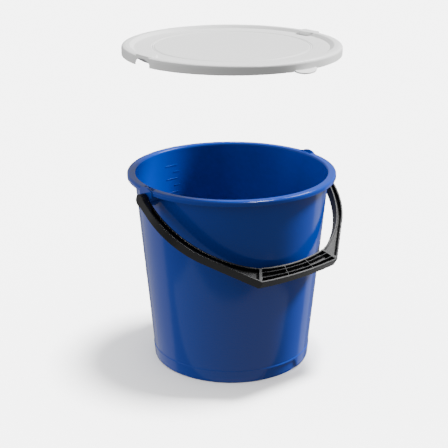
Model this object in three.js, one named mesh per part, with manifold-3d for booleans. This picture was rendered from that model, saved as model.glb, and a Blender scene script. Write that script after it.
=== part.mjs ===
// Ten-litre wash bucket with a swinging bail handle and a lift-off lid.
// Millimetres, +Z up, origin at the middle of the base. The handle pivots on the X axis
// and hangs towards -Y.
import * as THREE from "three";
import { mergeVertices } from "three/addons/utils/BufferGeometryUtils.js";
import Module from "manifold-3d";

const wasm = await Module();
wasm.setup();

// Driving dimensions. The bucket's wall is a straight cone from the floor to the rim.
const CLEARANCE = 0.3;
const RIM_RADIUS = 142.5;
const RIM_TOP = 270;
const RIM_FLANGE = 9.5;
const RIM_ROUND = 3;
const LIP_DEPTH = 7;
const WALL = 2.2;
const FOOT_RADIUS = 108.5;
const FOOT_BAND = 19;
const FOOT_STEP = 0.7;
const FOOT_ROUND = 4.5;
const FOOT_WALL = 3.2;
const FLOOR_TOP = 19.5;
const FLOOR_FILLET = 7;
const FLOOR_UNDER = FLOOR_TOP - WALL - 0.4;

// The finger recess in the foot band, and what stands under the floor.
const RECESS_HALF_WIDTH = 32.5;
const RECESS_TOP = FOOT_BAND - 3.2;
const RECESS_DEPTH = 1.7;
const BOSS_RADIUS = 14;
const BASE_RIBS = 8;
const BASE_RIB_WIDTH = 2.2;
const BASE_RIB_BOTTOM = 7;

// The ears that stand on the rim at each end of the pivot axis.
const PIVOT_HEIGHT = 255.5;
const EAR_FACE = RIM_RADIUS + 0.9;
const EAR_HALF_WIDTH = 13.5;
const EAR_ARCH_BASE = RIM_TOP - 4;
const EAR_TOP = RIM_TOP + 2.6;
const EAR_TOE_RADIUS = 9.5;
const EAR_SKIN = 2.4;
const EAR_RIB = 1.6;
const EAR_POCKET_DEPTH = 7.5;
const STUD_RADIUS = 3.3;
const STUD_REACH = 7;

// The handle, drawn in its own plane: x runs along the pivot axis and reach away from it.
const HANG_ANGLE = 34;
const HANDLE_HEIGHT = 13;
const HANDLE_WEB = 2.6;
const HANDLE_SKIN = 2.6;
const ARM_INNER = EAR_FACE + 0.5;
const ARM_OUTER = ARM_INNER + 9;
const ARM_END_RADIUS = 8.8;
const ARM_CURVE_START = 25;
const SHOULDER = { x: 120, reach: 112 };
const SHOULDER_TURN = 46;
const GRIP_CORNER = { x: 66, reach: 169.5 };
const GRIP_CROWN = 173;
const GRIP_INNER = { cornerX: 54.6, cornerReach: 147.9, crown: 154.1 };
const INNER_ELLIPSE = { start: 18, depth: 141 };
const GRIP_ROWS = 3;
const GRIP_COLUMNS = 3;
const GRIP_RIB = 1.3;
const POCKET_CORNER = { x: GRIP_CORNER.x + 1.5, reach: GRIP_CORNER.reach - 5.4 };

// The lid, measured where it sits on the rim. It is drawn lifted clear of the handle's swing.
const LID_RADIUS = 145.2;
const LID_TOP = RIM_TOP + 6.2;
const LID_SKIN = 1.9;
const LID_BAND = 16.5;
const LID_STEP = 3.6;
const LID_SKIRT_BOTTOM = RIM_TOP - 6.4;
const PLUG_OUTER = 129.6;
const PLUG_BOTTOM = RIM_TOP - 6;
const RING_RADIUS = 104;
const TAB_REACH = 152;
const TAB_HALF_WIDTH = 18;
const TAB_THICKNESS = 2;
const TAB_SLOPE = 22;
const EAR_GAP_HALF = EAR_HALF_WIDTH + 1.5;
const EAR_FLAT_HALF = 30;
const LID_LIFT = 167;

const SEGMENTS = 96;
const ARC_STEPS = 5;

const BLUE = { color: 0x0a3f9c, roughness: 0.22, metalness: 0 };
const BLACK = { color: 0x0d0e10, roughness: 0.3, metalness: 0 };
const WHITE = { color: 0xe6e6e4, roughness: 0.42, metalness: 0 };

const radians = THREE.MathUtils.degToRad;

// ---- Solids and booleans ----

// Welds a geometry's points and drops the slivers at a lathe's poles.
function toSolid(geometry) {
  const bare = geometry.clone();
  bare.deleteAttribute("normal");
  bare.deleteAttribute("uv");
  const welded = mergeVertices(bare, 1e-4);
  const corners = Array.from(welded.index.array);
  const triangles = [];
  for (let i = 0; i < corners.length; i += 3) {
    const [a, b, c] = corners.slice(i, i + 3);
    if (a !== b && b !== c && c !== a) triangles.push(a, b, c);
  }
  return new wasm.Manifold(new wasm.Mesh({
    numProp: 3,
    vertProperties: new Float32Array(welded.getAttribute("position").array),
    triVerts: new Uint32Array(triangles),
  }));
}

function toMesh(solid, name, finish) {
  const mesh = solid.getMesh();
  const geometry = new THREE.BufferGeometry();
  geometry.setAttribute("position", new THREE.BufferAttribute(mesh.vertProperties, 3));
  geometry.setIndex(new THREE.BufferAttribute(mesh.triVerts, 1));
  geometry.computeVertexNormals();
  const made = new THREE.Mesh(geometry, new THREE.MeshStandardMaterial(finish));
  made.name = name;
  return made;
}

// ---- Profiles ----

// Points on a quarter or part circle in the profile plane, angles in degrees.
function arc(centreR, centreZ, radius, from, to, steps = ARC_STEPS) {
  return Array.from({ length: steps + 1 }, (_, i) => {
    const angle = radians(from + ((to - from) * i) / steps);
    return [centreR + radius * Math.cos(angle), centreZ + radius * Math.sin(angle)];
  });
}

// Turns an anticlockwise profile of [radius, height] points about the Z axis.
function turned(profile) {
  const points = profile.map(([r, z]) => new THREE.Vector2(Math.max(r, 0), z));
  if (points[0].x > 0) points.push(points[0].clone());
  return toSolid(new THREE.LatheGeometry(points, SEGMENTS).rotateX(Math.PI / 2));
}

// A flat outline drawn in x and y, given a thickness upwards from a height.
function plate(outline, bottom, thickness) {
  const shape = new THREE.Shape(outline.map(([x, y]) => new THREE.Vector2(x, y)));
  const geometry = new THREE.ExtrudeGeometry(shape, { depth: thickness, bevelEnabled: false });
  return toSolid(geometry.translate(0, 0, bottom));
}

// An outline in the upright plane that faces along X, given a thickness from x = start.
function upright(outline, start, thickness) {
  return plate(outline, start, thickness).rotate([90, 0, 90]);
}

function rod(radius, start, length, steps = 32) {
  return upright(arc(0, 0, radius, 0, 360 - 360 / steps, steps - 1), start, length);
}

function atBothEnds(solid) {
  return solid.add(solid.rotate([0, 0, 180]));
}

// ---- Bucket ----

function wallRadius(height) {
  return FOOT_RADIUS + ((RIM_RADIUS - RIM_FLANGE - FOOT_RADIUS) * height) / RIM_TOP;
}

function bucketShell() {
  const inside = (height) => wallRadius(height) - WALL;
  const footOutside = (height) => wallRadius(height) + FOOT_STEP;
  return turned([
    [0, FLOOR_UNDER],
    ...arc(inside(FLOOR_UNDER) - FOOT_WALL - 2, FLOOR_UNDER - 3, 3, 90, 0),
    [footOutside(0) - FOOT_ROUND - 1.4, 0],
    ...arc(footOutside(FOOT_ROUND) - FOOT_ROUND, FOOT_ROUND, FOOT_ROUND, -90, 0),
    [footOutside(FOOT_BAND - 0.6), FOOT_BAND - 0.6],
    [wallRadius(FOOT_BAND), FOOT_BAND],
    [wallRadius(RIM_TOP - LIP_DEPTH * 1.7), RIM_TOP - LIP_DEPTH * 1.7],
    [wallRadius(RIM_TOP - WALL - 1.5), RIM_TOP - WALL - 1.5],
    [wallRadius(RIM_TOP) + 1.5, RIM_TOP - WALL],
    [RIM_RADIUS - WALL - 0.8, RIM_TOP - WALL],
    [RIM_RADIUS - WALL, RIM_TOP - WALL - 0.8],
    [RIM_RADIUS - WALL, RIM_TOP - LIP_DEPTH],
    ...arc(RIM_RADIUS - 0.8, RIM_TOP - LIP_DEPTH + 0.8, 0.8, -90, 0, 2),
    ...arc(RIM_RADIUS - RIM_ROUND, RIM_TOP - RIM_ROUND, RIM_ROUND, 0, 90),
    ...arc(inside(RIM_TOP) + RIM_ROUND, RIM_TOP - RIM_ROUND, RIM_ROUND, 90, 180),
    ...arc(inside(FLOOR_TOP) - FLOOR_FILLET + 0.4, FLOOR_TOP + FLOOR_FILLET, FLOOR_FILLET, 0, -90),
    [0, FLOOR_TOP],
  ]);
}

// The ear's outline across the pivot axis: an arch over the rim that narrows to a round toe.
function earOutline() {
  const side = arc(0, 0, 1, 0, 180, 12).map(([x, z]) => [
    x * EAR_HALF_WIDTH,
    EAR_ARCH_BASE + z * (EAR_TOP - EAR_ARCH_BASE),
  ]);
  const toe = arc(0, PIVOT_HEIGHT, EAR_TOE_RADIUS, 180, 360, 12);
  return [...side, [-EAR_HALF_WIDTH, EAR_ARCH_BASE - 5], ...toe, [EAR_HALF_WIDTH, EAR_ARCH_BASE - 5]];
}

// The pocket in an ear's top, open upwards, crossed by an X of ribs.
function earPocket() {
  const inner = RIM_RADIUS - RIM_FLANGE + 0.6;
  const outer = EAR_FACE - EAR_SKIN;
  const half = EAR_HALF_WIDTH - EAR_SKIN;
  const floor = RIM_TOP - EAR_POCKET_DEPTH;
  const box = (x0, x1, y0, y1, z0, z1) =>
    plate([[x0, y0], [x1, y0], [x1, y1], [x0, y1]], z0, z1 - z0);
  const length = Math.hypot(outer - inner, 2 * half);
  const slope = THREE.MathUtils.radToDeg(Math.atan2(outer - inner, 2 * half));
  const rib = box(-EAR_RIB / 2, EAR_RIB / 2, -length / 2, length / 2, floor - 1, RIM_TOP - 0.2);
  const middle = [(inner + outer) / 2, 0, 0];
  return box(inner, outer, -half, half, floor, EAR_TOP + 1)
    .subtract(rib.rotate([0, 0, slope]).translate(middle))
    .subtract(rib.rotate([0, 0, -slope]).translate(middle))
    .add(box(inner - 6, inner + 0.1, -half - 4, half + 4, RIM_TOP, EAR_TOP + 1));
}

// The blind hole that the handle's stud turns in.
function earBore() {
  return rod(STUD_RADIUS + CLEARANCE, EAR_FACE - STUD_REACH - 0.5, 20)
    .translate([0, 0, PIVOT_HEIGHT]);
}

function ear() {
  const root = wallRadius(PIVOT_HEIGHT) - WALL / 2;
  return upright(earOutline(), root, EAR_FACE - root).subtract(earPocket()).subtract(earBore());
}

// The same cuts again in the rim, which runs through each ear.
function earClearances() {
  return atBothEnds(earPocket().add(earBore()));
}

// A boss at the middle of the base and ribs from it to the foot.
function baseRibs() {
  const top = FLOOR_TOP - WALL;
  const boss = turned([[0, 0], [BOSS_RADIUS, 0], [BOSS_RADIUS, top], [0, top]]);
  const near = BOSS_RADIUS / 2;
  const far = FOOT_RADIUS - FOOT_WALL - 1;
  const half = BASE_RIB_WIDTH / 2;
  const outline = [[near, -half], [far, -half], [far, half], [near, half]];
  const rib = plate(outline, BASE_RIB_BOTTOM, top - BASE_RIB_BOTTOM);
  let all = boss;
  for (let i = 0; i < BASE_RIBS; i++) {
    all = all.add(rib.rotate([0, 0, (360 * (i + 0.5)) / BASE_RIBS]));
  }
  return all;
}

// The shallow finger recess in the foot band, under the hanging grip.
function fingerRecess() {
  const half = RECESS_HALF_WIDTH;
  const outline = [[-half, -1], [half, -1], [half - 6, RECESS_TOP - 2], [half - 9, RECESS_TOP],
    [9 - half, RECESS_TOP], [6 - half, RECESS_TOP - 2]];
  const block = plate(outline, 60, 80).rotate([90, 0, 0]);
  const backAt = (height) => wallRadius(height) + FOOT_STEP - RECESS_DEPTH;
  return block.subtract(turned([
    [0, -5],
    [backAt(-5), -5],
    [backAt(FOOT_BAND + 5), FOOT_BAND + 5],
    [0, FOOT_BAND + 5],
  ]));
}

function bucket() {
  const solid = bucketShell()
    .subtract(earClearances())
    .add(atBothEnds(ear()))
    .add(baseRibs())
    .subtract(fingerRecess());
  return toMesh(solid, "bucket", BLUE);
}

// ---- Handle ----

// A curve from the arm's straight side to the shoulder, then straight on to the grip.
function armOuterEdge() {
  const across = ARM_OUTER - SHOULDER.x;
  const along = SHOULDER.reach - ARM_CURVE_START;
  const turn = radians(SHOULDER_TURN);
  const steps = 7;
  const bend = Array.from({ length: steps + 1 }, (_, i) => {
    const angle = (turn * i) / steps;
    return [
      ARM_OUTER - (across * (1 - Math.cos(angle))) / (1 - Math.cos(turn)),
      ARM_CURVE_START + (along * Math.sin(angle)) / Math.sin(turn),
    ];
  });
  return [[ARM_OUTER, 0], ...bend];
}

function armInnerEdge() {
  const { start, depth } = INNER_ELLIPSE;
  const end = Math.asin((GRIP_INNER.cornerReach - start) / depth);
  const steps = 14;
  const curve = Array.from({ length: steps + 1 }, (_, i) => {
    const angle = (end * i) / steps;
    return [ARM_INNER * Math.cos(angle), start + depth * Math.sin(angle)];
  });
  return [[ARM_INNER, 0], ...curve];
}

// The depth of a shallow bow at x, where its middle stands out from its ends.
function bow(x, halfWidth, ends, middle) {
  return ends + (middle - ends) * (1 - (x / halfWidth) ** 2);
}

function bowed(from, to, halfWidth, ends, middle, steps = 12) {
  return Array.from({ length: steps + 1 }, (_, i) => {
    const x = from + ((to - from) * i) / steps;
    return [x, bow(x, halfWidth, ends, middle)];
  });
}

const mirrored = (points) => points.map(([x, y]) => [-x, y]).reverse();

function handleOutline() {
  const grip = bowed(GRIP_CORNER.x, -GRIP_CORNER.x, GRIP_CORNER.x, GRIP_CORNER.reach, GRIP_CROWN);
  const { cornerX, cornerReach, crown } = GRIP_INNER;
  const inside = bowed(-cornerX, cornerX, cornerX, cornerReach, crown).slice(1, -1);
  return [
    ...armOuterEdge(),
    ...grip,
    ...mirrored(armOuterEdge()),
    ...armInnerEdge().map(([x, y]) => [-x, y]),
    ...inside,
    ...armInnerEdge().reverse(),
  ];
}

// A polyline moved sideways by a distance, to the left of its direction.
function moved(points, distance) {
  return points.map((point, i) => {
    const before = points[Math.max(i - 1, 0)];
    const after = points[Math.min(i + 1, points.length - 1)];
    const along = [after[0] - before[0], after[1] - before[1]];
    const length = Math.hypot(...along);
    return [point[0] - (along[1] / length) * distance, point[1] + (along[0] / length) * distance];
  });
}

// The hollow beside an arm's web, between its inner and outer flanges.
function armPocket() {
  const outer = moved([...armOuterEdge(), [GRIP_CORNER.x, GRIP_CORNER.reach]], HANDLE_SKIN);
  const inner = moved(armInnerEdge(), -HANDLE_SKIN);
  const pastEnd = ([, reach]) => reach > ARM_END_RADIUS + 3;
  const keepOuter = outer.filter(pastEnd);
  const keepInner = inner.filter(pastEnd);
  keepOuter[keepOuter.length - 1] = [POCKET_CORNER.x, POCKET_CORNER.reach];
  keepInner[keepInner.length - 1] = [GRIP_INNER.cornerX + HANDLE_SKIN, GRIP_INNER.cornerReach + 1.6];
  return [...keepOuter, ...keepInner.reverse()];
}

// The small rectangular cells between the ribs on each face of the grip.
function gripCells() {
  const across = (row) => {
    const share = row / GRIP_ROWS;
    const mix = (a, b) => a + (b - a) * share;
    return {
      half: mix(GRIP_INNER.cornerX, GRIP_CORNER.x),
      ends: mix(GRIP_INNER.cornerReach, GRIP_CORNER.reach),
      middle: mix(GRIP_INNER.crown, GRIP_CROWN),
    };
  };
  const cells = [];
  for (let row = 0; row < GRIP_ROWS; row++) {
    const low = across(row);
    const high = across(row + 1);
    const lowSkin = row === 0 ? HANDLE_SKIN : GRIP_RIB / 2;
    const highSkin = row === GRIP_ROWS - 1 ? HANDLE_SKIN : GRIP_RIB / 2;
    for (let column = 0; column < GRIP_COLUMNS; column++) {
      const edge = (line, skin, side) => {
        const usable = line.half - HANDLE_SKIN / 2;
        const from = -usable + (2 * usable * column) / GRIP_COLUMNS + GRIP_RIB / 2;
        const to = -usable + (2 * usable * (column + 1)) / GRIP_COLUMNS - GRIP_RIB / 2;
        return bowed(from, to, line.half, line.ends, line.middle, 6)
          .map(([x, reach]) => [x, reach + side * skin]);
      };
      cells.push([...edge(low, lowSkin, 1), ...edge(high, highSkin, -1).reverse()]);
    }
  }
  return cells;
}

function handleFlat() {
  const half = HANDLE_HEIGHT / 2;
  const pocketDepth = (HANDLE_HEIGHT - HANDLE_WEB) / 2;
  const pockets = [armPocket(), mirrored(armPocket()), ...gripCells()];
  let body = plate(handleOutline(), -half, HANDLE_HEIGHT);
  for (const pocket of pockets) {
    body = body.subtract(plate(pocket, HANDLE_WEB / 2, pocketDepth + 1));
    body = body.subtract(plate(pocket, -half - 1, pocketDepth + 1));
  }
  const end = rod(ARM_END_RADIUS, ARM_INNER, ARM_OUTER - ARM_INNER);
  const stud = rod(STUD_RADIUS, EAR_FACE - STUD_REACH, ARM_INNER - EAR_FACE + STUD_REACH + 1);
  return body.add(atBothEnds(end.add(stud)));
}

function handle() {
  const mesh = toMesh(handleFlat(), "handle", BLACK);
  mesh.rotation.x = radians(180 + HANG_ANGLE);
  mesh.position.z = PIVOT_HEIGHT;
  return mesh;
}

// ---- Lid ----

function lidShell() {
  const bandInner = LID_RADIUS - LID_BAND;
  const panelTop = LID_TOP - LID_STEP;
  const panelUnder = panelTop - LID_SKIN;
  const bandUnder = LID_TOP - LID_SKIN;
  const skirtInner = LID_RADIUS - LID_SKIN;
  const rimSeat = RIM_TOP + CLEARANCE;
  const plugInner = PLUG_OUTER - LID_SKIN;
  return turned([
    [0, panelUnder],
    [plugInner, panelUnder],
    [plugInner, PLUG_BOTTOM],
    [PLUG_OUTER - 0.6, PLUG_BOTTOM],
    [PLUG_OUTER, PLUG_BOTTOM + 1],
    [PLUG_OUTER, rimSeat],
    [RIM_RADIUS - RIM_FLANGE + 1.5, rimSeat],
    [RIM_RADIUS - RIM_FLANGE + 2.5, bandUnder],
    [skirtInner - 1.5, bandUnder],
    [skirtInner, bandUnder - 1.5],
    [skirtInner, LID_SKIRT_BOTTOM],
    [LID_RADIUS, LID_SKIRT_BOTTOM],
    ...arc(LID_RADIUS - 3.5, LID_TOP - 3.5, 3.5, 0, 90),
    ...arc(bandInner + 3, LID_TOP - 2, 2, 90, 150, 3),
    [bandInner, panelTop],
    ...[1.5, 0.6, -0.6, -1.5].map((step) => [
      RING_RADIUS + step,
      panelTop - (Math.abs(step) < 1 ? 0.5 : 0),
    ]),
    [0, panelTop],
  ]);
}

// The half-moon pull tab at the foot of the skirt, sloping down from it.
function lidTab() {
  const root = LID_RADIUS - LID_SKIN + 0.4;
  const inside = 4;
  const reach = (TAB_REACH - root) / Math.cos(radians(TAB_SLOPE));
  const outline = arc(0, 0, 1, 180, 360, 16).map(([c, s]) => [
    c * TAB_HALF_WIDTH,
    s * (reach + inside) + inside,
  ]);
  const hollow = rod(root, -TAB_HALF_WIDTH, 4 * TAB_HALF_WIDTH, SEGMENTS)
    .rotate([0, -90, 0])
    .translate([0, 0, LID_SKIRT_BOTTOM]);
  return plate(outline, 0, TAB_THICKNESS)
    .rotate([TAB_SLOPE, 0, 0])
    .translate([0, -root, LID_SKIRT_BOTTOM])
    .subtract(hollow);
}

// The gap in the skirt and the flat on the band that let the ear and the raised arm past.
function lidEarCut() {
  const below = LID_SKIRT_BOTTOM - 1;
  const gapBase = EAR_ARCH_BASE + 1;
  const gapRise = EAR_TOP + CLEARANCE + 0.1 - gapBase;
  const arch = arc(0, 0, 1, 0, 180, 10).map(([y, z]) => [y * EAR_GAP_HALF, gapBase + z * gapRise]);
  const gap = [[-EAR_GAP_HALF, below], [EAR_GAP_HALF, below], ...arch];
  const innerFace = RIM_RADIUS - RIM_FLANGE + 2.6;
  const flat = [[-EAR_FLAT_HALF, below], [EAR_FLAT_HALF, below],
    [EAR_FLAT_HALF, LID_TOP + 1], [-EAR_FLAT_HALF, LID_TOP + 1]];
  return atBothEnds(upright(gap, innerFace, 20).add(upright(flat, EAR_FACE, 10)));
}

function lid() {
  const solid = lidShell().add(lidTab()).subtract(lidEarCut());
  const mesh = toMesh(solid, "lid", WHITE);
  mesh.position.z = LID_LIFT;
  return mesh;
}

const washBucket = new THREE.Group();
washBucket.name = "wash_bucket";
washBucket.add(bucket(), handle(), lid());

export default washBucket;
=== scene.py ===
"""Wash bucket: a blue tapered bucket, a black bail handle and a white lid floating above it.

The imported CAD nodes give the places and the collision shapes. Each is replaced here by a finer
mesh of the same size, with rounded edges and the small moulded details. The named sizes are in
millimetres, and each mesh is scaled to metres when it is finished. Lights and camera are in metres.
"""

import math

import bmesh
import bpy
from mathutils import Matrix, Vector
from mathutils.geometry import delaunay_2d_cdt


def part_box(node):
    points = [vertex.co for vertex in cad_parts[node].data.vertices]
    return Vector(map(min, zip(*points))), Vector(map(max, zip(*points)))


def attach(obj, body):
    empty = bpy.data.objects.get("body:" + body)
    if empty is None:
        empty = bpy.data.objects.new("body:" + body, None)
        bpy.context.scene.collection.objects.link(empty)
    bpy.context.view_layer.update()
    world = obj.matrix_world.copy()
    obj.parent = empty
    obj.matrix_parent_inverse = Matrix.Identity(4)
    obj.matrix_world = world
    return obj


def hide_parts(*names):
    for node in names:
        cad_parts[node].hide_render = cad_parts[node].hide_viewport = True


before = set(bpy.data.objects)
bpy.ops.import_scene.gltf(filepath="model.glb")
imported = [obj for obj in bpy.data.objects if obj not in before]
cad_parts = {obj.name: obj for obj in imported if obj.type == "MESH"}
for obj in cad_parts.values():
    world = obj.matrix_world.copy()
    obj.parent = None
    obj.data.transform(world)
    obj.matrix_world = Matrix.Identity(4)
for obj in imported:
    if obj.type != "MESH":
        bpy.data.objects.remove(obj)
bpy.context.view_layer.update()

MM = 0.001
FULL_TURN = 2 * math.pi

# Sizes shared with the CAD part, in millimetres.
RIM_RADIUS = 142.5
RIM_TOP = 270.0
RIM_FLANGE = 9.5
RIM_ROUND = 3.0
LIP_DEPTH = 7.0
WALL = 2.2
FOOT_RADIUS = 108.5
FOOT_BAND = 19.0
FOOT_STEP = 0.7
FOOT_ROUND = 4.5
FOOT_WALL = 3.2
FLOOR_TOP = 19.5
FLOOR_FILLET = 7.0
FLOOR_UNDER = FLOOR_TOP - WALL
BOSS_RADIUS = 14.0
BASE_RIBS = 8
BASE_RIB_WIDTH = 2.2
BASE_RIB_BOTTOM = 7.0

RECESS_DEPTH = 1.7
RECESS_TOP = FOOT_BAND - 3.2
RECESS_HALF_WIDTH = 32.5
RECESS_END_SLANT = 0.5
RECESS_EDGE = 1.2
BAND_ROWS = 14

PIVOT_HEIGHT = 255.5
EAR_FACE = RIM_RADIUS + 0.9
EAR_HALF_WIDTH = 13.5
EAR_ARCH_BASE = RIM_TOP - 4
EAR_TOP = RIM_TOP + 2.6
EAR_TOE_RADIUS = 9.5
EAR_SKIN = 2.4
EAR_RIB = 1.6
EAR_POCKET_DEPTH = 7.5
STUD_RADIUS = 3.3
STUD_REACH = 7.0
POCKET_INNER = RIM_RADIUS - RIM_FLANGE + 0.6
POCKET_OUTER = EAR_FACE - EAR_SKIN
POCKET_HALF = EAR_HALF_WIDTH - EAR_SKIN
POCKET_FLOOR = RIM_TOP - EAR_POCKET_DEPTH
RIB_TOP = RIM_TOP - 0.2

# The litre marks, each placed by the angle of its middle and its width, in degrees.
SCALE_LITRES = 10
SCALE_TICK = 0.9
SCALE_RELIEF = 0.45
SCALE_ROOT = 0.8
LITRE_MARK = (94, 9.5)
HALF_LITRE_MARK = (90, 4.5)
MARK_STEPS = 8

HANG_ANGLE = 34.0
HANDLE_HEIGHT = 13.0
HANDLE_WEB = 2.6
HANDLE_SKIN = 2.6
ARM_INNER = EAR_FACE + 0.5
ARM_OUTER = ARM_INNER + 9
ARM_END_RADIUS = 8.8
ARM_CURVE_START = 25.0
SHOULDER = (120.0, 112.0)
SHOULDER_TURN = 46.0
GRIP_CORNER = (66.0, 169.5)
GRIP_CROWN = 173.0
GRIP_INNER_CORNER = (54.6, 147.9)
GRIP_INNER_CROWN = 154.1
INNER_ELLIPSE_START = 18.0
INNER_ELLIPSE_DEPTH = 141.0
GRIP_ROWS = 3
GRIP_COLUMNS = 3
GRIP_RIB = 1.3
POCKET_OUTER_CORNER = (GRIP_CORNER[0] + 1.5, GRIP_CORNER[1] - 5.4)
POCKET_INNER_CORNER = (GRIP_INNER_CORNER[0] + HANDLE_SKIN, GRIP_INNER_CORNER[1] + 1.6)

LID_RADIUS = 145.2
LID_TOP = RIM_TOP + 6.2
LID_SKIN = 1.9
LID_BAND = 16.5
LID_STEP = 3.6
LID_SKIRT_BOTTOM = RIM_TOP - 6.4
PLUG_OUTER = 129.6
PLUG_BOTTOM = RIM_TOP - 6
RING_RADIUS = 104.0
TAB_REACH = 152.0
TAB_HALF_WIDTH = 18.0
TAB_THICKNESS = 2.0
TAB_SLOPE = 22.0
EAR_GAP_HALF = EAR_HALF_WIDTH + 1.5
PAD_INSET = 3.0
PAD_RISE = 1.1
PAD_CORNER = 7.0

CLEARANCE = 0.3
SEGMENTS = 256
CORNER_STEPS = 5

# The lid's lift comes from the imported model: how far its CAD node floats above its seat.
LID_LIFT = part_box("lid")[1][2] / MM - LID_TOP


# ---- Camera ----

VIEW_AZIMUTH = 38.5
CAMERA_DISTANCE = 1.5034
CAMERA_HEIGHT = 0.7268
CAMERA_SIDE = -0.0104
CAMERA_PITCH = 19.64
FOCAL_LENGTH = 92.4


def add_camera():
    """A long lens, looking down at the bucket from its front left."""
    data = bpy.data.cameras.new("camera")
    data.lens = FOCAL_LENGTH
    data.sensor_width = 36.0
    camera = bpy.data.objects.new("camera", data)
    turn = Matrix.Rotation(math.radians(-VIEW_AZIMUTH), 4, "Z")
    camera.location = turn @ Vector((CAMERA_SIDE, -CAMERA_DISTANCE, CAMERA_HEIGHT))
    camera.rotation_euler = (math.radians(90 - CAMERA_PITCH), 0, math.radians(-VIEW_AZIMUTH))
    bpy.context.scene.collection.objects.link(camera)
    bpy.context.scene.camera = camera


# ---- Mesh helpers ----

def add_piece(name, mesh, material, body, smooth_angle=35.0):
    """Put a mesh in the scene with its material, smooth shading and body."""
    piece = bpy.data.objects.new(name, mesh)
    bpy.context.scene.collection.objects.link(piece)
    mesh.materials.clear()
    mesh.materials.append(material)
    mesh.shade_smooth()
    mesh.set_sharp_from_angle(angle=math.radians(smooth_angle))
    normals = piece.modifiers.new("normals", "WEIGHTED_NORMAL")
    normals.keep_sharp = True
    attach(piece, body)
    return piece


def mesh_from(bm, name):
    """Finish a bmesh: weld, face outwards and scale from millimetres to metres."""
    bmesh.ops.remove_doubles(bm, verts=bm.verts, dist=1e-4)
    bmesh.ops.recalc_face_normals(bm, faces=bm.faces)
    bmesh.ops.scale(bm, vec=(MM, MM, MM), verts=bm.verts)
    mesh = bpy.data.meshes.new(name)
    bm.to_mesh(mesh)
    bm.free()
    return mesh


def flat_guard(side, reach):
    """A short step from a fillet's end along its straight side."""
    return side.normalized() * min(0.4, 0.4 * (side.length / 2 - reach))


def rounded(corners):
    """A closed profile with its corners filleted.

    Each corner is (radius, height) or (radius, height, fillet). A point just outside each end
    of a fillet keeps the flats flat under smooth shading.
    """
    points = []
    count = len(corners)
    for i, corner in enumerate(corners):
        here = Vector(corner[:2])
        fillet = corner[2] if len(corner) > 2 else 0
        if fillet == 0:
            points.append(here)
            continue
        back = Vector(corners[i - 1][:2]) - here
        ahead = Vector(corners[(i + 1) % count][:2]) - here
        half_angle = back.angle(ahead) / 2
        room = 0.48 * min(back.length, ahead.length)
        reach = min(fillet / math.tan(half_angle), room)
        radius = reach * math.tan(half_angle)
        centre = here + (back.normalized() + ahead.normalized()).normalized() * (
            radius / math.sin(half_angle))
        start = here + back.normalized() * reach
        end = here + ahead.normalized() * reach
        points.append(start + flat_guard(back, reach))
        from_centre = start - centre
        sweep = from_centre.angle_signed(end - centre)
        for k in range(CORNER_STEPS + 1):
            turn = Matrix.Rotation(-sweep * k / CORNER_STEPS, 2)
            points.append(centre + turn @ from_centre)
        points.append(end + flat_guard(ahead, reach))
    return points


def join_rings(bm, low, high, count):
    """Faces between two rings of vertices, either of which may be a single point."""
    for i in range(count):
        j = (i + 1) % count
        corners = [low[i % len(low)], low[j % len(low)], high[j % len(high)], high[i % len(high)]]
        corners = list(dict.fromkeys(corners))
        if len(corners) > 2:
            bm.faces.new(corners)


def turned(profile, shape=None, extra_angles=()):
    """Turn a profile about Z. A profile that starts and ends on the axis closes there."""
    angles = sorted([FULL_TURN * i / SEGMENTS for i in range(SEGMENTS)] + list(extra_angles))
    bm = bmesh.new()
    rings = []
    for r, z in profile:
        if r < 1e-6:
            rings.append([bm.verts.new((0, 0, z))])
            continue
        ring = []
        for angle in angles:
            point = Vector((r * math.cos(angle), r * math.sin(angle), z))
            ring.append(bm.verts.new(shape(point) if shape else point))
        rings.append(ring)
    pairs = list(zip(rings, rings[1:]))
    if len(rings[0]) > 1:
        pairs.append((rings[-1], rings[0]))
    for low, high in pairs:
        join_rings(bm, low, high, len(angles))
    return bm


def arc(cx, cy, radius, start, end, steps):
    """Points on part of a circle, angles in degrees."""
    return [
        (cx + radius * math.cos(math.radians(start + (end - start) * i / steps)),
         cy + radius * math.sin(math.radians(start + (end - start) * i / steps)))
        for i in range(steps + 1)
    ]


def inset(outline, distance):
    """An outline moved sideways by a distance, to the left of its direction, with mitred corners."""
    result = []
    for i, here in enumerate(outline):
        here = Vector(here)
        before = (here - Vector(outline[i - 1])).normalized()
        after = (Vector(outline[(i + 1) % len(outline)]) - here).normalized()
        normal = Vector((-before.y - after.y, before.x + after.x)).normalized()
        mitre = max(normal.dot(Vector((-after.y, after.x))), 0.5)
        result.append(here + normal * distance / mitre)
    return result


def signed_area(outline):
    return sum(x0 * y1 - x1 * y0 for (x0, y0), (x1, y1) in zip(outline, outline[1:] + outline[:1])) / 2


def surrounds(outline, point):
    """Whether a closed outline goes round a point: a ray to the right crosses it oddly often."""
    crossings = 0
    for i, here in enumerate(outline):
        before = outline[i - 1]
        if (here[1] > point[1]) != (before[1] > point[1]):
            share = (point[1] - here[1]) / (before[1] - here[1])
            crossings += point[0] < here[0] + share * (before[0] - here[0])
    return crossings % 2 == 1


def edge_levels(half, bevel, steps):
    """(inset, height) pairs up a plate's edge, rounded by quarter circles at both faces."""
    upper = []
    for k in range(steps + 1):
        angle = math.pi / 2 * k / steps
        upper.append((bevel * (1 - math.cos(angle)), half - bevel * (1 - math.sin(angle))))
    return [(depth, -z) for depth, z in reversed(upper)] + upper


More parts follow.
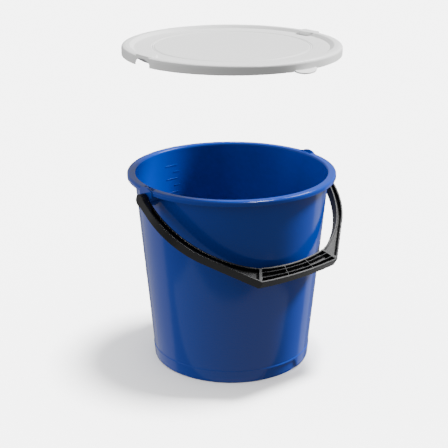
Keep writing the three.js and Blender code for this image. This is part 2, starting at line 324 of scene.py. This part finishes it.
def fill_caps(bm, loops):
    """Fill both faces of a plate from its (bottom ring, top ring) loops, leaving out the holes."""
    bottom = []
    top = []
    edges = []
    for low, high in loops:
        first = len(top)
        edges += [(first + i, first + (i + 1) % len(high)) for i in range(len(high))]
        bottom += low
        top += high
    flat = [vert.co.to_2d() for vert in top]
    holes = [[vert.co.to_2d() for vert in high] for _, high in loops[1:]]
    all_triangles_inside = 1
    points, _, faces, origins, _, _ = delaunay_2d_cdt(flat, edges, [], all_triangles_inside, 1e-5)
    for face in faces:
        middle = sum((points[i] for i in face), Vector((0, 0))) / len(face)
        if any(surrounds(hole, middle) for hole in holes):
            continue
        ids = [origins[i][0] for i in face]
        bm.faces.new([top[i] for i in ids])
        bm.faces.new([bottom[i] for i in reversed(ids)])


def flat_plate(name, outlines, thickness, bevel, steps=3):
    """A plate from closed outlines, the first solid and the rest holes, centred on z = 0."""
    bm = bmesh.new()
    levels = edge_levels(thickness / 2, bevel, steps)
    loops = []
    for index, outline in enumerate(outlines):
        outline = [tuple(point) for point in outline]
        is_solid = index == 0
        if (signed_area(outline) > 0) != is_solid:
            outline.reverse()
        rings = [
            [bm.verts.new((x, y, z)) for x, y in inset(outline, depth)] for depth, z in levels
        ]
        for low, high in zip(rings, rings[1:]):
            join_rings(bm, low, high, len(outline))
        loops.append((rings[0], rings[-1]))
    fill_caps(bm, loops)
    return mesh_from(bm, name)


def moved_mesh(mesh, matrix):
    mesh.transform(matrix)
    return mesh


def upright_matrix(x):
    """Stand a plate drawn in XY up across the X axis, centred on x in millimetres."""
    stand = Matrix(((0, 0, 1, 0), (1, 0, 0, 0), (0, 1, 0, 0), (0, 0, 0, 1)))
    return Matrix.Translation((x * MM, 0, 0)) @ stand


HALF_TURN = Matrix.Rotation(math.pi, 4, "Z")


# ---- Materials ----

class Nodes:
    """A short way to add and join shader nodes."""

    def __init__(self, name):
        self.material = bpy.data.materials.new(name)
        self.material.use_nodes = True
        self.tree = self.material.node_tree
        self.shader = self.tree.nodes["Principled BSDF"]

    def add(self, kind, inputs=None, **settings):
        node = self.tree.nodes.new(kind)
        for key, value in settings.items():
            setattr(node, key, value)
        for key, value in (inputs or {}).items():
            if isinstance(value, bpy.types.NodeSocket):
                self.tree.links.new(value, node.inputs[key])
            else:
                node.inputs[key].default_value = value
        return node

    def noise(self, scale, detail=2.0, stretch=(1, 1, 1)):
        place = self.add("ShaderNodeTexCoord").outputs["Object"]
        mapping = self.add("ShaderNodeMapping", {"Vector": place, "Scale": stretch})
        noise = self.add("ShaderNodeTexNoise",
                         {"Vector": mapping.outputs[0], "Scale": scale, "Detail": detail})
        return noise.outputs["Fac"]

    def ranged(self, value, low, high):
        node = self.add("ShaderNodeMapRange", {"Value": value, "To Min": low, "To Max": high})
        return node.outputs[0]

    def bump(self, height, strength, distance, below=None):
        inputs = {"Height": height, "Strength": strength, "Distance": distance}
        if below is not None:
            inputs["Normal"] = below
        return self.add("ShaderNodeBump", inputs).outputs[0]

    def to_shader(self, socket, output):
        self.tree.links.new(output, self.shader.inputs[socket])


def moulded_plastic(name, colour, tint, roughness, ior=1.5, grain=0.0, wave=0.06):
    """Moulded plastic: a soft orange-peel surface, uneven gloss and a slight change of colour."""
    nodes = Nodes(name)
    patches = nodes.noise(9.0, 3.0)
    mix = nodes.add("ShaderNodeMix", {"Factor": nodes.ranged(patches, 0.0, 1.0)}, data_type="RGBA")
    mix.inputs["A"].default_value = (*colour, 1)
    mix.inputs["B"].default_value = (*tint, 1)
    nodes.to_shader("Base Color", mix.outputs["Result"])
    streaks = nodes.noise(60.0, 4.0, (1.0, 1.0, 0.12))
    nodes.to_shader("Roughness", nodes.ranged(streaks, roughness * 0.8, roughness * 1.25))
    peel = nodes.bump(nodes.noise(45.0, 1.0), wave, 0.002)
    if grain:
        peel = nodes.bump(nodes.noise(2600.0, 2.0), grain, 0.0002, peel)
    nodes.to_shader("Normal", peel)
    nodes.shader.inputs["IOR"].default_value = ior
    return nodes.material


BLUE = moulded_plastic("blue_plastic", (0.0006, 0.032, 0.29), (0.001, 0.038, 0.32), 0.15)
BLACK = moulded_plastic("black_plastic", (0.003, 0.003, 0.004), (0.005, 0.005, 0.006), 0.26,
                        ior=1.36, grain=0.15)
WHITE = moulded_plastic("white_plastic", (0.74, 0.745, 0.74), (0.77, 0.77, 0.765), 0.32, grain=0.1)


# ---- Bucket ----

def wall_radius(height):
    """The wall's outside radius at a height."""
    return FOOT_RADIUS + (RIM_RADIUS - RIM_FLANGE - FOOT_RADIUS) * height / RIM_TOP


def bucket_profile():
    """The bucket's section, from the axis under the floor round the foot and rim to the axis."""
    def inside(height):
        return wall_radius(height) - WALL

    def foot_outside(height):
        return wall_radius(height) + FOOT_STEP

    floor_under = FLOOR_UNDER - 0.4
    lip_bottom = RIM_TOP - LIP_DEPTH
    return [Vector((0, floor_under))] + rounded([
        (4, floor_under),
        (inside(floor_under) - FOOT_WALL + 1, floor_under, 3),
        (foot_outside(0) - FOOT_ROUND - 1.4, 0, 0.8),
        (foot_outside(0), 0, FOOT_ROUND),
        (foot_outside(FOOT_BAND - 0.9), FOOT_BAND - 0.9, 0.4),
        (wall_radius(FOOT_BAND), FOOT_BAND, 0.5),
        (wall_radius(60), 60),
        (wall_radius(150), 150),
        (wall_radius(RIM_TOP - WALL), RIM_TOP - WALL, 1.5),
        (RIM_RADIUS - WALL, RIM_TOP - WALL, 0.8),
        (RIM_RADIUS - WALL, lip_bottom, 0.8),
        (RIM_RADIUS, lip_bottom, 0.9),
        (RIM_RADIUS, RIM_TOP, RIM_ROUND),
        (inside(RIM_TOP), RIM_TOP, RIM_ROUND),
        (inside(150), 150),
        (inside(60), 60),
        (inside(FLOOR_TOP), FLOOR_TOP, FLOOR_FILLET),
        (60, FLOOR_TOP),
    ]) + [Vector((0, FLOOR_TOP))]


def smooth_step(value, low, high):
    t = min(max((value - low) / (high - low), 0), 1)
    return t * t * (3 - 2 * t)


def finger_recess(point):
    """Push the foot band in under the hanging grip."""
    radius = math.hypot(point.x, point.y)
    if point.y > 0 or point.z > RECESS_TOP or radius < wall_radius(point.z) - 1:
        return point
    half = RECESS_HALF_WIDTH - RECESS_END_SLANT * max(point.z, 0)
    depth = RECESS_DEPTH * smooth_step(half - abs(point.x), -RECESS_EDGE, RECESS_EDGE)
    depth *= smooth_step(RECESS_TOP - point.z, 0, RECESS_EDGE)
    scale = (radius - depth) / radius
    return Vector((point.x * scale, point.y * scale, point.z))


def bucket_shell():
    """The turned wall, floor and rim, with extra rows up the foot band for its recess."""
    coarse = bucket_profile()
    profile = []
    for low, high in zip(coarse, coarse[1:]):
        profile.append(low)
        is_outside = min(low.x, high.x) > FOOT_RADIUS - 2
        if is_outside and high.y < FOOT_BAND and high.y - low.y > 3:
            profile += [low.lerp(high, k / BAND_ROWS) for k in range(1, BAND_ROWS)]
    profile.append(coarse[-1])
    return mesh_from(turned(profile, finger_recess), "bucket_moulding")


def block(name, low, high, bevel=0.0):
    """A box between two corners in millimetres, with rounded edges."""
    bm = bmesh.new()
    bmesh.ops.create_cube(bm, size=1)
    size = Vector(high) - Vector(low)
    middle = (Vector(high) + Vector(low)) / 2
    bmesh.ops.scale(bm, vec=size, verts=bm.verts)
    bmesh.ops.translate(bm, vec=middle, verts=bm.verts)
    if bevel:
        bmesh.ops.bevel(bm, geom=bm.edges[:], offset=bevel, segments=3, profile=0.5,
                        affect="EDGES")
    return mesh_from(bm, name)


def combined(base, others, operation="UNION"):
    """Join meshes to a base mesh, or cut them from it, and use the others up."""
    for other in others:
        target = bpy.data.objects.new("target", base)
        tool = bpy.data.objects.new("tool", other)
        for piece in (target, tool):
            bpy.context.scene.collection.objects.link(piece)
        modifier = target.modifiers.new("boolean", "BOOLEAN")
        modifier.operation = operation
        modifier.solver = "MANIFOLD"
        modifier.object = tool
        depsgraph = bpy.context.evaluated_depsgraph_get()
        result = bpy.data.meshes.new_from_object(target.evaluated_get(depsgraph))
        name = base.name
        for piece in (target, tool):
            bpy.data.objects.remove(piece)
        for mesh in (base, other):
            bpy.data.meshes.remove(mesh)
        result.name = name
        base = result
    return base


def ear_outline(top_cut=None):
    """The ear across the pivot axis: an arch over the rim that narrows to a round toe."""
    arch = [(EAR_HALF_WIDTH * c, EAR_ARCH_BASE + s * (EAR_TOP - EAR_ARCH_BASE))
            for c, s in arc(0, 0, 1, 0, 180, 24)]
    if top_cut is not None:
        arch = [(EAR_HALF_WIDTH, top_cut), (-EAR_HALF_WIDTH, top_cut)]
    toe = arc(0, PIVOT_HEIGHT, EAR_TOE_RADIUS, 180, 360, 20)
    low = EAR_ARCH_BASE - 5
    return arch + [(-EAR_HALF_WIDTH, low)] + toe + [(EAR_HALF_WIDTH, low)]


def ear_meshes():
    """The outer plate, the solid foot behind it, two side walls and an X of ribs."""
    root = wall_radius(PIVOT_HEIGHT) - WALL / 2
    bore = arc(0, PIVOT_HEIGHT, STUD_RADIUS + CLEARANCE, 0, 345, 23)
    plate = flat_plate("plate", [ear_outline(), bore], EAR_SKIN, 0.6)
    moved_mesh(plate, upright_matrix(EAR_FACE - EAR_SKIN / 2))
    core_depth = POCKET_OUTER + 0.5 - root
    core = flat_plate("core", [ear_outline(POCKET_FLOOR), bore], core_depth, 0.3)
    moved_mesh(core, upright_matrix(root + core_depth / 2))
    sides = [
        block("side", (POCKET_INNER - 1.5, start, POCKET_FLOOR - 1),
              (POCKET_OUTER + 1, start + EAR_SKIN, RIB_TOP), 0.5)
        for start in (-POCKET_HALF - EAR_SKIN, POCKET_HALF)
    ]
    across = POCKET_OUTER - POCKET_INNER
    length = math.hypot(across, 2 * POCKET_HALF)
    slope = math.atan2(across, 2 * POCKET_HALF)
    middle = Matrix.Translation(((POCKET_INNER + POCKET_OUTER) / 2 * MM, 0, 0))
    ribs = []
    for sign in (-1, 1):
        rib = block("rib", (-EAR_RIB / 2, -length / 2, POCKET_FLOOR - 1),
                    (EAR_RIB / 2, length / 2, RIB_TOP), 0.4)
        ribs.append(moved_mesh(rib, middle @ Matrix.Rotation(sign * slope, 4, "Z")))
    return [plate, core, *sides, *ribs]


def height_holding(litres):
    """The height that a volume of water reaches inside the bucket, from the cone's volume."""
    slope = (wall_radius(RIM_TOP) - wall_radius(0)) / RIM_TOP
    radius_at_floor = wall_radius(FLOOR_TOP) - WALL
    radius = (radius_at_floor ** 3 + 3 * slope * litres * 1e6 / math.pi) ** (1 / 3)
    return FLOOR_TOP + (radius - radius_at_floor) / slope


def add_mark(bm, height, middle, width):
    """One raised mark along the inside of the wall, its root sunk in the plastic."""
    section = ((-SCALE_ROOT, -1), (SCALE_RELIEF, -0.6), (SCALE_RELIEF, 0.6), (-SCALE_ROOT, 1))
    rings = []
    for step in range(MARK_STEPS + 1):
        angle = math.radians(middle - width / 2 + width * step / MARK_STEPS)
        ring = []
        for depth, rise in section:
            z = height + rise * SCALE_TICK
            radius = wall_radius(z) - WALL - depth
            ring.append(bm.verts.new((radius * math.cos(angle), radius * math.sin(angle), z)))
        rings.append(ring)
    for near, far in zip(rings, rings[1:]):
        join_rings(bm, near, far, len(section))
    bm.faces.new(rings[0])
    bm.faces.new(rings[-1][::-1])


def litre_scale():
    """Raised marks inside the wall opposite the grip, long for each litre, short for halves."""
    bm = bmesh.new()
    for half_litres in range(2, 2 * SCALE_LITRES + 1):
        mark = HALF_LITRE_MARK if half_litres % 2 else LITRE_MARK
        add_mark(bm, height_holding(half_litres / 2), *mark)
    return mesh_from(bm, "litre_scale")


def base_ribs():
    """The boss under the middle of the floor and the ribs from it to the foot."""
    top = FLOOR_UNDER
    boss = turned([Vector((0, 0))] + rounded([
        (BOSS_RADIUS / 2, 0), (BOSS_RADIUS, 0, 0.6), (BOSS_RADIUS, top), (BOSS_RADIUS / 2, top),
    ]) + [Vector((0, top))])
    parts = [mesh_from(boss, "boss")]
    half = BASE_RIB_WIDTH / 2
    for i in range(BASE_RIBS):
        rib = block("rib", (BOSS_RADIUS / 2, -half, BASE_RIB_BOTTOM),
                    (FOOT_RADIUS - FOOT_WALL - 1, half, top), 0.4)
        parts.append(moved_mesh(rib, Matrix.Rotation(FULL_TURN * (i + 0.5) / BASE_RIBS, 4, "Z")))
    return parts


def add_bucket():
    """One moulding: the shell with its marks and ribs, and an open-topped ear on each side."""
    mesh = combined(bucket_shell(), [litre_scale(), *base_ribs()])
    pocket = ((POCKET_INNER, -POCKET_HALF, POCKET_FLOOR), (POCKET_OUTER + 4, POCKET_HALF, RIM_TOP + 5))
    for turn in (Matrix.Identity(4), HALF_TURN):
        mesh = combined(mesh, [moved_mesh(block("pocket", *pocket), turn)], "DIFFERENCE")
        mesh = combined(mesh, [moved_mesh(part, turn) for part in ear_meshes()])
    bucket = add_piece("bucket_moulding", mesh, BLUE, "bucket", 30)
    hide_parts("bucket")


# ---- Handle ----

def arm_outer_edge():
    """From the arm's straight side round to the shoulder."""
    turn = math.radians(SHOULDER_TURN)
    across = ARM_OUTER - SHOULDER[0]
    along = SHOULDER[1] - ARM_CURVE_START
    steps = 24
    points = [(ARM_OUTER, 0)]
    for i in range(steps + 1):
        angle = turn * i / steps
        points.append((
            ARM_OUTER - across * (1 - math.cos(angle)) / (1 - math.cos(turn)),
            ARM_CURVE_START + along * math.sin(angle) / math.sin(turn),
        ))
    return points


def arm_inner_edge():
    end = math.asin((GRIP_INNER_CORNER[1] - INNER_ELLIPSE_START) / INNER_ELLIPSE_DEPTH)
    steps = 40
    return [(ARM_INNER, 0)] + [
        (ARM_INNER * math.cos(end * i / steps),
         INNER_ELLIPSE_START + INNER_ELLIPSE_DEPTH * math.sin(end * i / steps))
        for i in range(steps + 1)
    ]


def bowed(start, end, half_width, ends, middle, steps=24):
    """A shallow bow from x = start to x = end whose middle stands out from its ends."""
    points = []
    for i in range(steps + 1):
        x = start + (end - start) * i / steps
        points.append((x, ends + (middle - ends) * (1 - (x / half_width) ** 2)))
    return points


def mirrored(points):
    return [(-x, y) for x, y in reversed(points)]


def handle_outline():
    """The handle's outer and inner edges as one closed loop, in its own plane from the pivot."""
    corner_x, corner_reach = GRIP_CORNER
    inner_x, inner_reach = GRIP_INNER_CORNER
    grip = bowed(corner_x, -corner_x, corner_x, corner_reach, GRIP_CROWN)
    inside = bowed(-inner_x, inner_x, inner_x, inner_reach, GRIP_INNER_CROWN)[1:-1]
    left_inner = [(-x, y) for x, y in arm_inner_edge()]
    return (arm_outer_edge() + grip + mirrored(arm_outer_edge()) + left_inner + inside
            + arm_inner_edge()[::-1])


def offset_line(points, distance):
    """An open line moved sideways, to the left of its direction, its corners not mitred."""
    result = []
    for i, (x, y) in enumerate(points):
        before = points[max(i - 1, 0)]
        after = points[min(i + 1, len(points) - 1)]
        dx, dy = after[0] - before[0], after[1] - before[1]
        length = math.hypot(dx, dy)
        result.append((x - dy / length * distance, y + dx / length * distance))
    return result


def arm_pocket():
    """The hollow beside an arm's web, between its inner and outer flanges."""
    outer = offset_line(arm_outer_edge() + [GRIP_CORNER], HANDLE_SKIN)
    inner = offset_line(arm_inner_edge(), -HANDLE_SKIN)
    start = ARM_END_RADIUS + 3
    outer = [point for point in outer if point[1] > start]
    inner = [point for point in inner if point[1] > start]
    outer[-1] = POCKET_OUTER_CORNER
    inner[-1] = POCKET_INNER_CORNER
    return outer + inner[::-1]


def grip_cells():
    """The cells between the ribs on each face of the grip."""
    def line(row):
        share = row / GRIP_ROWS
        half = GRIP_INNER_CORNER[0] + (GRIP_CORNER[0] - GRIP_INNER_CORNER[0]) * share
        ends = GRIP_INNER_CORNER[1] + (GRIP_CORNER[1] - GRIP_INNER_CORNER[1]) * share
        middle = GRIP_INNER_CROWN + (GRIP_CROWN - GRIP_INNER_CROWN) * share
        return half, ends, middle

    def edge(row, column, skin):
        half, ends, middle = line(row)
        usable = half - HANDLE_SKIN / 2
        start = -usable + 2 * usable * column / GRIP_COLUMNS + GRIP_RIB / 2
        end = -usable + 2 * usable * (column + 1) / GRIP_COLUMNS - GRIP_RIB / 2
        return [(x, reach + skin) for x, reach in bowed(start, end, half, ends, middle, 10)]

    cells = []
    for row in range(GRIP_ROWS):
        low_skin = HANDLE_SKIN if row == 0 else GRIP_RIB / 2
        high_skin = HANDLE_SKIN if row == GRIP_ROWS - 1 else GRIP_RIB / 2
        for column in range(GRIP_COLUMNS):
            cells.append(edge(row, column, low_skin) + edge(row + 1, column, -high_skin)[::-1])
    return cells


def disc(radius, start, end, edge):
    """A short cylinder along X with rounded ends, both in millimetres."""
    profile = [Vector((0, start))] + rounded([
        (radius / 2, start), (radius, start, edge), (radius, end, edge), (radius / 2, end),
    ]) + [Vector((0, end))]
    bm = bmesh.new()
    rings = []
    steps = 48
    for r, x in profile:
        count = 1 if r < 1e-6 else steps
        rings.append([
            bm.verts.new((x, r * math.cos(FULL_TURN * i / steps), r * math.sin(FULL_TURN * i / steps)))
            for i in range(count)
        ])
    for low, high in zip(rings, rings[1:]):
        join_rings(bm, low, high, steps)
    return mesh_from(bm, "disc")


def add_handle():
    """One moulding: flanges round open pockets, a web across them, arm ends and studs."""
    pockets = [arm_pocket(), mirrored(arm_pocket()), *grip_cells()]
    frame_mesh = flat_plate("handle_moulding", [handle_outline(), *pockets], HANDLE_HEIGHT, 0.45)
    web = flat_plate("web", [handle_outline()], HANDLE_WEB, HANDLE_SKIN / 4, 1)
    ends = []
    for turn in (Matrix.Identity(4), HALF_TURN):
        ends.append(moved_mesh(disc(ARM_END_RADIUS, ARM_INNER, ARM_OUTER, 0.8), turn))
        ends.append(moved_mesh(disc(STUD_RADIUS, EAR_FACE - STUD_REACH, ARM_INNER + 1, 0.5), turn))
    mesh = combined(frame_mesh, [web, *ends])
    place = Matrix.Translation((0, 0, PIVOT_HEIGHT * MM))
    mesh.transform(place @ Matrix.Rotation(math.radians(180 + HANG_ANGLE), 4, "X"))
    handle = add_piece("handle_moulding", mesh, BLACK, "handle", 42)
    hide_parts("handle")


# ---- Lid ----

def lid_profile():
    """The lid's section seated on the rim, from the axis under the panel to the axis over it."""
    band_inner = LID_RADIUS - LID_BAND
    panel_top = LID_TOP - LID_STEP
    panel_under = panel_top - LID_SKIN
    band_under = LID_TOP - LID_SKIN
    skirt_inner = LID_RADIUS - LID_SKIN
    rim_seat = RIM_TOP + CLEARANCE
    plug_inner = PLUG_OUTER - LID_SKIN
    rim_inner = RIM_RADIUS - RIM_FLANGE
    return [Vector((0, panel_under))] + rounded([
        (60, panel_under),
        (plug_inner, panel_under, 0.8),
        (plug_inner, PLUG_BOTTOM, 0.6),
        (PLUG_OUTER, PLUG_BOTTOM, 0.7),
        (PLUG_OUTER, rim_seat, 0.3),
        (rim_inner + 1.5, rim_seat, 0.5),
        (rim_inner + 2.5, band_under, 0.6),
        (skirt_inner, band_under, 1.5),
        (skirt_inner, LID_SKIRT_BOTTOM, 0.7),
        (LID_RADIUS, LID_SKIRT_BOTTOM, 0.8),
        (LID_RADIUS, LID_TOP - 1.2, 4.5),
        (LID_RADIUS - 5.5, LID_TOP, 4),
        (band_inner + 5.5, LID_TOP, 3.5),
        (band_inner, panel_top, 0.6),
        (RING_RADIUS + 2.2, panel_top, 0.5),
        (RING_RADIUS + 1.2, panel_top - 0.5, 0.4),
        (RING_RADIUS, panel_top, 0.4),
        (RING_RADIUS - 1.2, panel_top - 0.5, 0.4),
        (RING_RADIUS - 2.2, panel_top, 0.5),
        (60, panel_top),
    ]) + [Vector((0, panel_top))]


def lid_shape(point):
    """Lift the skirt over each ear and flatten it there for the raised arm to pass."""
    x, y, z = point
    base = EAR_ARCH_BASE + 1
    top = EAR_TOP + CLEARANCE + 0.1
    near_ear = abs(y) < EAR_GAP_HALF and abs(x) > RIM_RADIUS - RIM_FLANGE + 2.6
    if near_ear and z < top:
        z = max(z, base + (top - base) * math.sqrt(1 - (y / EAR_GAP_HALF) ** 2))
    if abs(x) > EAR_FACE:
        x = math.copysign(EAR_FACE, x)
    return Vector((x, y, z))


def lid_edge_angles():
    """Extra cuts close to the sides of the ear gaps, so that they stay steep."""
    edge = math.asin(EAR_GAP_HALF / LID_RADIUS)
    near = [edge + step for step in (-0.0045, -0.0022, -0.0008, 0.0002, 0.0012)]
    return [side + sign * angle for side in (0, math.pi) for sign in (-1, 1) for angle in near]


def lid_tab_mesh():
    """The half-moon pull tab, sloping down from the foot of the skirt."""
    root = LID_RADIUS - LID_SKIN + 0.4
    inside = 1.2
    reach = (TAB_REACH - root) / math.cos(math.radians(TAB_SLOPE))
    half_moon = [(TAB_HALF_WIDTH * c, s * (reach + inside)) for c, s in arc(0, 0, 1, 180, 360, 40)]
    outline = half_moon[1:-1] + [(TAB_HALF_WIDTH - 0.5, 0), (0.5 - TAB_HALF_WIDTH, 0)]
    mesh = flat_plate("tab", [outline], TAB_THICKNESS, 0.6)
    mesh.transform(Matrix.Translation((0, inside * MM, TAB_THICKNESS / 2 * MM)))
    mesh.transform(Matrix.Rotation(math.radians(TAB_SLOPE), 4, "X"))
    return moved_mesh(mesh, Matrix.Translation((0, -root * MM, LID_SKIRT_BOTTOM * MM)))


def lid_pad_mesh():
    """The raised pad over an ear: it crosses the band and ends round on the panel."""
    inner = LID_RADIUS - LID_BAND - PAD_INSET
    outer = EAR_FACE - 0.2
    half = EAR_HALF_WIDTH
    turn_x = inner + PAD_CORNER
    turn_y = half - PAD_CORNER
    round_end = (arc(turn_x, turn_y, PAD_CORNER, 90, 180, 8)
                 + arc(turn_x, -turn_y, PAD_CORNER, 180, 270, 8))
    outline = [(outer, -half), (outer, half)] + round_end
    bottom = LID_TOP - LID_STEP - 0.5
    height = LID_TOP + PAD_RISE - bottom
    mesh = flat_plate("pad", [outline], height, 0.9)
    mesh.transform(Matrix.Translation((0, 0, (bottom + height / 2) * MM)))
    channel = block("channel", (RIM_RADIUS - RIM_FLANGE + 2.4, -2 * half, bottom - 1),
                    (outer + 1, 2 * half, LID_TOP - LID_SKIN + 0.1))
    return combined(mesh, [channel], "DIFFERENCE")


def add_lid():
    """One moulding, built on its seat and then raised to where it floats."""
    angles = [angle % FULL_TURN for angle in lid_edge_angles()]
    bm = turned(lid_profile(), lid_shape, angles)
    additions = [lid_tab_mesh(), lid_pad_mesh(), moved_mesh(lid_pad_mesh(), HALF_TURN)]
    mesh = combined(mesh_from(bm, "lid_moulding"), additions)
    mesh.transform(Matrix.Translation((0, 0, LID_LIFT * MM)))
    lid = add_piece("lid_moulding", mesh, WHITE, "lid", 35)
    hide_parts("lid")


# ---- Studio ----

SOFTBOX_DISTANCE = 1.6
FLOOR_HALF_SIZE = 7500
HORIZON_START = -0.15
HORIZON_END = 0.25


def add_floor():
    """A flat pale floor that casts no shadow and shows in no reflection or bounced light."""
    bm = bmesh.new()
    bmesh.ops.create_grid(bm, x_segments=8, y_segments=8, size=2 * FLOOR_HALF_SIZE)
    mesh = mesh_from(bm, "studio_floor")
    floor = bpy.data.objects.new("studio_floor", mesh)
    nodes = Nodes("studio_floor")
    nodes.shader.inputs["Base Color"].default_value = (0.82, 0.82, 0.82, 1)
    nodes.shader.inputs["Roughness"].default_value = 0.9
    nodes.shader.inputs["Specular IOR Level"].default_value = 0.0
    mesh.materials.append(nodes.material)
    bpy.context.scene.collection.objects.link(floor)
    floor.visible_glossy = False
    floor.visible_diffuse = False
    floor.visible_shadow = False
    return floor


def direction(azimuth, elevation):
    """A unit vector towards a light, its azimuth seen from the camera: 0 behind it, 90 right."""
    turn = math.radians(azimuth - VIEW_AZIMUTH)
    up = math.radians(elevation)
    return Vector((math.sin(turn) * math.cos(up), -math.cos(turn) * math.cos(up), math.sin(up)))


def add_softbox(name, azimuth, elevation, size, glow):
    """A rectangle of light turned to the bucket's middle, seen only in reflections."""
    data = bpy.data.lights.new(name, "AREA")
    data.shape = "RECTANGLE"
    data.size, data.size_y = size
    data.energy = glow * math.pi * size[0] * size[1]
    light = bpy.data.objects.new(name, data)
    towards = direction(azimuth, elevation)
    light.location = towards * SOFTBOX_DISTANCE + Vector((0, 0, RIM_TOP * MM / 2))
    light.rotation_euler = towards.to_track_quat("Z", "Y").to_euler()
    light.visible_diffuse = False
    light.visible_camera = False
    bpy.context.scene.collection.objects.link(light)
    return light


def add_floor_glow(size, glow):
    """Light from the floor close in front of the bucket, for its lower wall to reflect."""
    light = add_softbox("floor_glow", 0, 0, size, glow)
    light.location = direction(-4, 0) * (FOOT_RADIUS * MM + size[1] / 2)
    light.location.z = MM
    light.rotation_euler = (math.pi, 0, math.radians(-VIEW_AZIMUTH))


def add_sun(name, azimuth, elevation, strength, spread, floor, on_floor):
    """A soft sun for the floor alone or for the object alone."""
    data = bpy.data.lights.new(name, "SUN")
    data.energy = strength
    data.angle = math.radians(spread)
    light = bpy.data.objects.new(name, data)
    light.rotation_euler = direction(azimuth, elevation).to_track_quat("Z", "Y").to_euler()
    light.visible_glossy = False
    bpy.context.scene.collection.objects.link(light)
    lit = bpy.data.collections.new(name + "_lit")
    lit.objects.link(floor)
    lit.collection_objects[0].light_linking.link_state = "INCLUDE" if on_floor else "EXCLUDE"
    light.light_linking.receiver_collection = lit


def add_world(above, below):
    """An even pale sky, dimmer below the horizon."""
    world = bpy.data.worlds.new("studio")
    world.use_nodes = True
    tree = world.node_tree
    place = tree.nodes.new("ShaderNodeTexCoord")
    parts = tree.nodes.new("ShaderNodeSeparateXYZ")
    ramp = tree.nodes.new("ShaderNodeMapRange")
    ramp.inputs["From Min"].default_value = HORIZON_START
    ramp.inputs["From Max"].default_value = HORIZON_END
    ramp.inputs["To Min"].default_value = below
    ramp.inputs["To Max"].default_value = above
    background = tree.nodes["Background"]
    background.inputs["Color"].default_value = (1, 1, 1, 1)
    tree.links.new(place.outputs["Generated"], parts.inputs[0])
    tree.links.new(parts.outputs["Z"], ramp.inputs["Value"])
    tree.links.new(ramp.outputs[0], background.inputs["Strength"])
    bpy.context.scene.world = world


def add_studio():
    """Suns give the floor and the object their light, and softboxes give the object its shine."""
    floor = add_floor()
    add_world(0.48, 0.32)
    add_sun("floor_key", 112, 79, 16.5, 11, floor, True)
    add_sun("floor_fill", 0, 90, 5.5, 100, floor, True)
    add_sun("key", 118, 40, 13, 14, floor, False)
    add_sun("left_fill", -95, 12, 2.3, 50, floor, False)
    add_softbox("softbox_left", -122, -26, (1.5, 1.2), 0.4)
    add_softbox("softbox_right", 128, -26, (0.5, 1.2), 0.5)
    add_softbox("softbox_key", 122, 54, (0.7, 0.5), 13)
    add_softbox("softbox_top", 60, 70, (0.35, 0.35), 60)
    add_floor_glow((0.6, 0.2), 0.32)


add_camera()
add_bucket()
add_handle()
add_lid()
add_studio()
